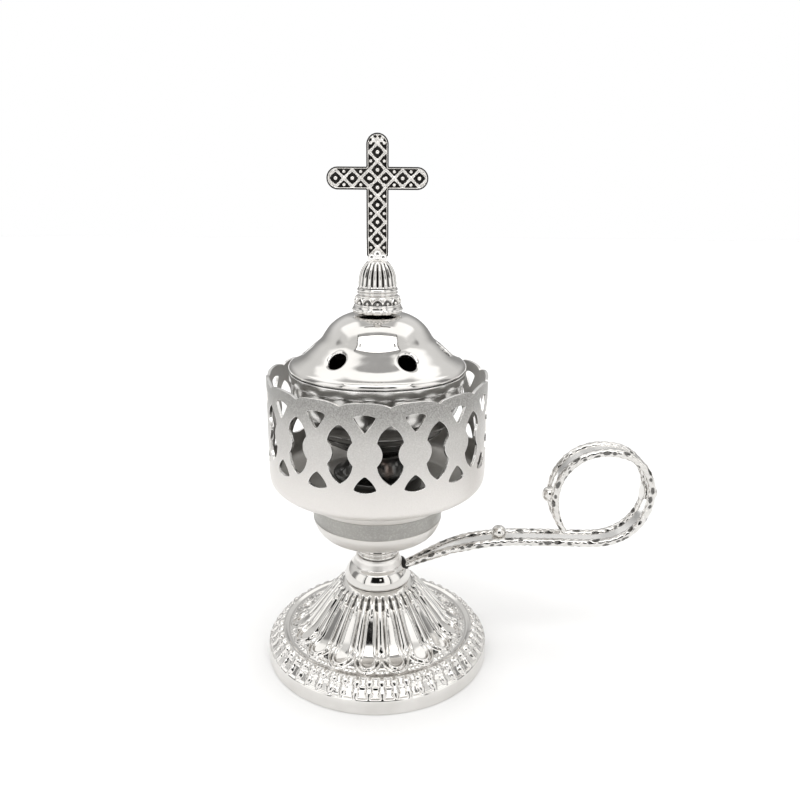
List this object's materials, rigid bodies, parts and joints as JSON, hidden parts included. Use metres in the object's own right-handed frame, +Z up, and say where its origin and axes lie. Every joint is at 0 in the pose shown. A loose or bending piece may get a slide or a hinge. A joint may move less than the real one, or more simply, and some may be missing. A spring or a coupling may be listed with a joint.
{
  "type": "table censer",
  "caption": "Footed table censer: pierced basket on a stamped foot, lift-out fire cup, lift-off pierced lid with a cross, ribbon handle curled into a finger loop.",
  "frame": {"origin": "centre of the foot on the plane it stands on", "axes": "+Z up along the stem, +X along the handle, -Y towards the user; the cross faces -Y"},
  "size_m": [0.1324, 0.076, 0.1726],
  "materials": {
    "polished_chrome": "mirror polished plating",
    "satin_silver": "fine sand-blasted plating",
    "antique_silver": "cast, darkened in the recesses",
    "dark_steel": "dark spun sheet",
    "zinc": "zinc plated",
    "fibre": "matt black"
  },
  "bodies": {
    "stand": {"base_plate": "fibre", "foot": "polished_chrome", "foot_washer": "zinc", "foot_nut": "zinc", "tie_rod": "zinc", "stem_knob": "polished_chrome", "neck_collar": "polished_chrome", "lower_cup": "satin_silver", "spacer_tube": "zinc", "basket": "satin_silver", "basket_washer": "zinc", "basket_nut": "zinc", "handle": "polished_chrome"},
    "fire_cup": {"fire_cup": "dark_steel"},
    "lid": {"lid": "polished_chrome", "lid_washer": "zinc", "lid_screw": "zinc", "finial_base": "polished_chrome", "finial_bell": "polished_chrome", "cross": "antique_silver"}
  },
  "joints": [
    {"name": "fire_cup_lift", "type": "slide", "parent": "stand", "child": "fire_cup", "axis": [0, 0, 1], "range_m": [0, 0.045]},
    {"name": "lid_lift", "type": "slide", "parent": "fire_cup", "child": "lid", "axis": [0, 0, 1], "range_m": [0, 0.04]}
  ]
}
